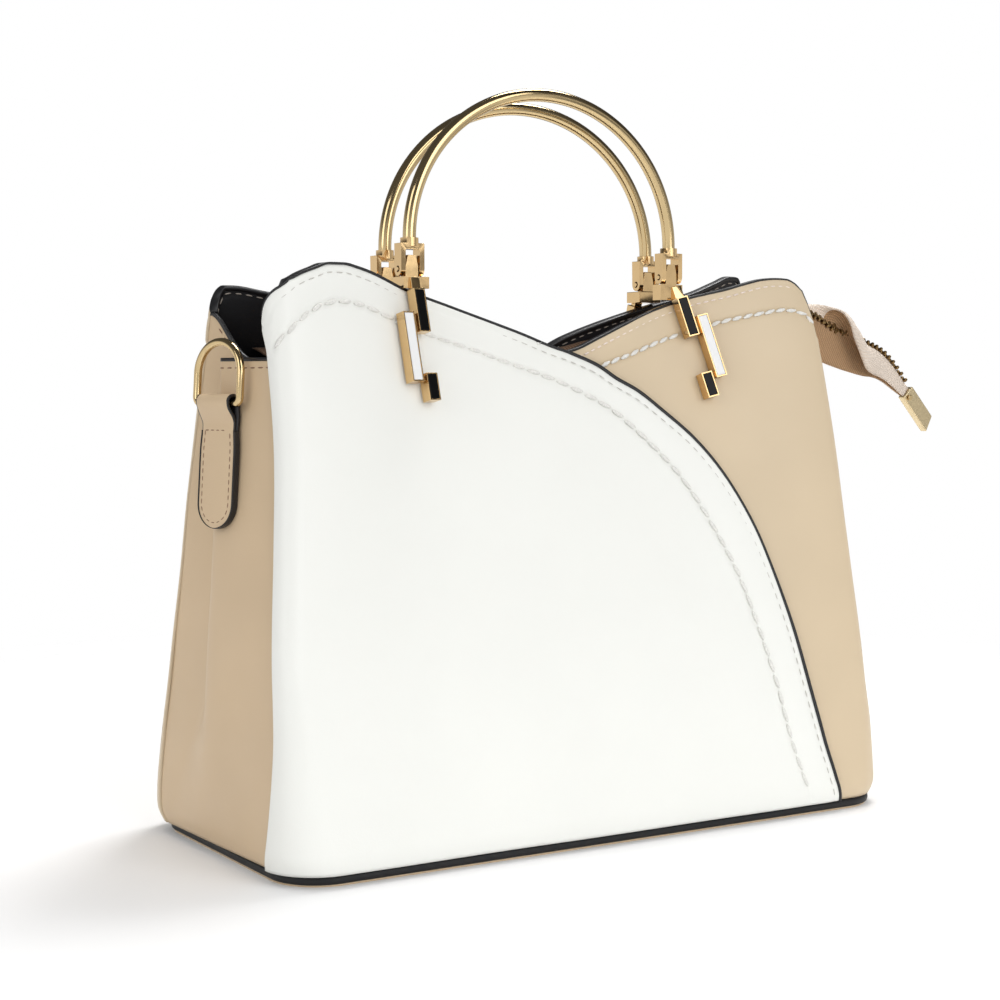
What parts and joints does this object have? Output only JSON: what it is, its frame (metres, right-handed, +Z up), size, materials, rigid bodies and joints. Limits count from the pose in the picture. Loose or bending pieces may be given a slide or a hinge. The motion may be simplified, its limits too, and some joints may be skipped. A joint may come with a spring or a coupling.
{
  "type": "handbag",
  "caption": "Structured two-tone leather handbag with hinged wire handles, a recessed top zip with a free tail, pleated sides and D rings on side tabs.",
  "frame": {"origin": "centre of the base, on the face that the bag stands on", "axes": "+Z up, +X to the right along the front, -Y is the front"},
  "size_m": [0.3755, 0.1317, 0.3015],
  "materials": {
    "beige_leather": "smooth matte grain, warm beige",
    "gusset_leather": "smooth matte grain, darker beige",
    "white_leather": "smooth matte, off-white",
    "black_leather": "matte black",
    "edge_black": "painted black edge",
    "lining_cloth": "dark woven lining",
    "zip_tape": "twill tape, pinkish beige",
    "zip_metal": "antiqued metal teeth",
    "gold_metal": "polished pale gold plating",
    "black_enamel": "glossy enamel",
    "white_enamel": "glossy enamel"
  },
  "bodies": {
    "bag": {"base_leather": "beige_leather", "base_board": "edge_black", "front_panel": "beige_leather", "front_overlay": "white_leather", "back_panel": "beige_leather", "front_facing": "black_leather", "back_facing": "black_leather", "left_gusset": "gusset_leather", "right_gusset": "gusset_leather", "lining": "lining_cloth", "zip_tape_front": "zip_tape", "zip_tape_back": "zip_tape", "zip_teeth": "zip_metal", "zip_tail": "zip_tape", "zip_end_cap": "gold_metal", "zip_end_rivet": "gold_metal", "front_left_mount": "gold_metal", "front_left_screw": "gold_metal", "front_left_first_enamel": "black_enamel", "front_left_second_enamel": "white_enamel", "front_left_third_enamel": "black_enamel", "front_right_mount": "gold_metal", "front_right_screw": "gold_metal", "front_right_first_enamel": "black_enamel", "front_right_second_enamel": "white_enamel", "front_right_third_enamel": "black_enamel", "back_left_mount": "gold_metal", "back_left_screw": "gold_metal", "back_right_mount": "gold_metal", "back_right_screw": "gold_metal", "left_tab": "beige_leather", "right_tab": "beige_leather"},
    "front_handle": {"front_handle_rod": "gold_metal", "front_left_yoke": "gold_metal", "front_left_pin": "gold_metal", "front_right_yoke": "gold_metal", "front_right_pin": "gold_metal"},
    "back_handle": {"back_handle_rod": "gold_metal", "back_left_yoke": "gold_metal", "back_left_pin": "gold_metal", "back_right_yoke": "gold_metal", "back_right_pin": "gold_metal"},
    "left_ring": {"left_ring": "gold_metal"},
    "right_ring": {"right_ring": "gold_metal"},
    "zip_slider": {"zip_slider": "gold_metal"},
    "zip_pull": {"zip_pull": "gold_metal"}
  },
  "joints": [
    {"name": "front_handle_hinge", "type": "hinge", "parent": "bag", "child": "front_handle", "pos_m": [-0.0013, -0.0123, 0.22655], "axis": [1, 0, 0.0016], "range_deg": [-6, 90]},
    {"name": "back_handle_hinge", "type": "hinge", "parent": "bag", "child": "back_handle", "pos_m": [0.0012, 0.00962, 0.22367], "axis": [0.9999, 0, 0.0138], "range_deg": [-90, 6]},
    {"name": "left_ring_hinge", "type": "hinge", "parent": "bag", "child": "left_ring", "pos_m": [-0.1423, -0.00236, 0.17429], "axis": [0.3132, -0.9497, 0], "range_deg": [0, 165]},
    {"name": "right_ring_hinge", "type": "hinge", "parent": "bag", "child": "right_ring", "pos_m": [0.14581, -0.00183, 0.17416], "axis": [0.1917, 0.9815, 0], "range_deg": [-112, 0]},
    {"name": "zip_slide", "type": "slide", "parent": "bag", "child": "zip_slider", "axis": [1, 0, 0], "range_m": [0, 0.19], "deforming": ["zip_teeth"]},
    {"name": "zip_pull_hinge", "type": "hinge", "parent": "zip_slider", "child": "zip_pull", "pos_m": [-0.1107, 0, 0.19565], "axis": [0, -1, 0], "range_deg": [0, 150]}
  ]
}
